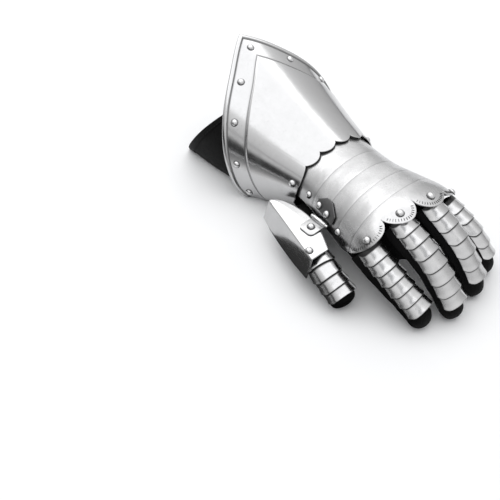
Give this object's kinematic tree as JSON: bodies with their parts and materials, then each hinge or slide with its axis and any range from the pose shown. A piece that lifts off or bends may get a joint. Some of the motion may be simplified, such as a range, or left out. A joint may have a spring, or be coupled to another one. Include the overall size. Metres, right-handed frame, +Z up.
{
  "type": "armoured gauntlet",
  "caption": "Left-hand plate gauntlet with a flared pointed cuff, a scalloped hand plate, overlapping finger scales and a hinged thumb plate over a leather glove.",
  "frame": {"origin": "centre of the bounding box on the surface it lies on", "axes": "+Y from the fingertips to the mouth of the cuff, -X towards the thumb, +Z up from the surface it lies on"},
  "size_m": [0.178, 0.3339, 0.1198],
  "materials": {
    "plates": "polished steel plate with fine hammer and polishing marks",
    "scales": "satin polished steel scales",
    "hinge": "satin steel hinge leaves and pin",
    "rivets": "polished domed steel rivets",
    "leather": "matt black glove leather"
  },
  "bodies": {
    "root": {"cuff_plate": "plates", "glove_hand": "leather", "glove_index": "leather", "glove_little": "leather", "glove_middle": "leather", "glove_ring": "leather", "glove_sleeve": "leather", "glove_thumb": "leather", "hand_plate": "plates", "hinge_leaf_hand": "hinge", "hinge_leaf_thumb": "hinge", "hinge_pin": "hinge", "hinge_rivet_hand_1": "rivets", "hinge_rivet_hand_2": "rivets", "hinge_rivet_thumb": "rivets", "index_scale_1": "scales", "index_scale_2": "scales", "index_scale_3": "scales", "index_scale_4": "scales", "index_scale_5": "scales", "index_scale_6": "scales", "little_scale_1": "scales", "little_scale_2": "scales", "little_scale_3": "scales", "little_scale_4": "scales", "little_scale_5": "scales", "lobe_rivet_index": "rivets", "lobe_rivet_little": "rivets", "lobe_rivet_middle": "rivets", "lobe_rivet_ring": "rivets", "middle_scale_1": "scales", "middle_scale_2": "scales", "middle_scale_3": "scales", "middle_scale_4": "scales", "middle_scale_5": "scales", "middle_scale_6": "scales", "middle_scale_7": "scales", "ring_scale_1": "scales", "ring_scale_2": "scales", "ring_scale_3": "scales", "ring_scale_4": "scales", "ring_scale_5": "scales", "ring_scale_6": "scales", "thumb_plate": "plates", "thumb_plate_rivet": "rivets", "thumb_scale_1": "scales", "thumb_scale_2": "scales", "thumb_scale_3": "scales", "thumb_scale_4": "scales", "wrist_rivet_outer_side": "rivets", "wrist_rivet_thumb_side": "rivets"}
  },
  "joints": []
}
